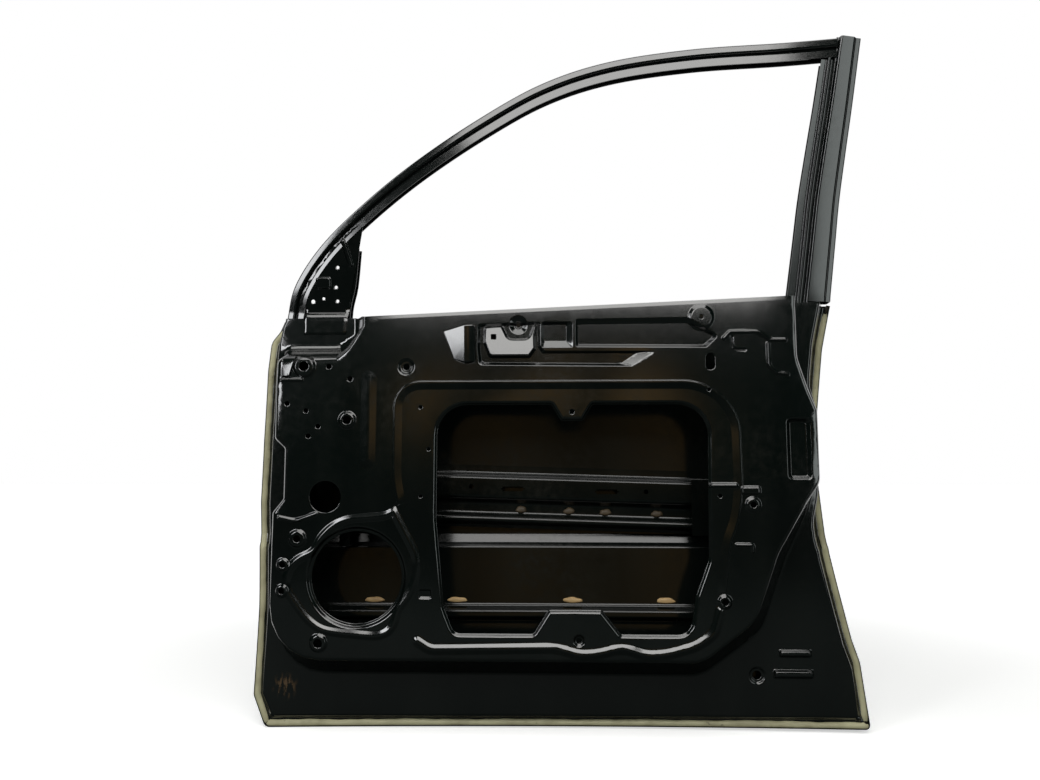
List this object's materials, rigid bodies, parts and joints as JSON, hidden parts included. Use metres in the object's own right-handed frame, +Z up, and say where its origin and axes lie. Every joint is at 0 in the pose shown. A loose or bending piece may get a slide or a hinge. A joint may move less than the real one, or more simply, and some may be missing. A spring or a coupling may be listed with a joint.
{
  "type": "car door shell",
  "caption": "Front right car door shell in black primed pressed steel: inner panel with access and speaker openings, hemmed outer skin, window frame, braces and hem sealer.",
  "frame": {"origin": "middle of the upper hinge face, on the outside of the front shut face", "axes": "+X towards the rear of the car, +Y towards the outside of the car, +Z up"},
  "size_m": [1.0427, 0.1787, 1.1452],
  "materials": {
    "black_primer": "glossy black dip primer",
    "hem_sealer": "matt tooled bead",
    "mastic": "matt dab"
  },
  "bodies": {
    "root": {"outer_panel": "black_primer", "inner_panel": "black_primer", "frame_rail": "black_primer", "rear_pillar": "black_primer", "mirror_bracket": "black_primer", "belt_brace_inner": "black_primer", "belt_brace_outer": "black_primer", "impact_beam": "black_primer", "beam_bracket_front": "black_primer", "beam_bracket_rear": "black_primer", "skin_stiffener": "black_primer", "handle_brace": "black_primer", "hinge_brace_upper": "black_primer", "hinge_brace_lower": "black_primer", "hinge_nut_upper_1": "black_primer", "hinge_nut_upper_2": "black_primer", "hinge_nut_lower_1": "black_primer", "hinge_nut_lower_2": "black_primer", "check_brace": "black_primer", "latch_brace": "black_primer", "glass_channel_front": "black_primer", "glass_channel_rear": "black_primer", "mirror_nut_1": "black_primer", "mirror_nut_2": "black_primer", "mirror_nut_3": "black_primer", "hem_sealer_front": "hem_sealer", "hem_sealer_bottom": "hem_sealer", "hem_sealer_rear": "hem_sealer", "stiffener_dab_1": "mastic", "stiffener_dab_2": "mastic", "stiffener_dab_3": "mastic", "stiffener_dab_4": "mastic", "beam_dab_1": "mastic", "beam_dab_2": "mastic", "beam_dab_3": "mastic", "beam_dab_4": "mastic"}
  },
  "joints": []
}
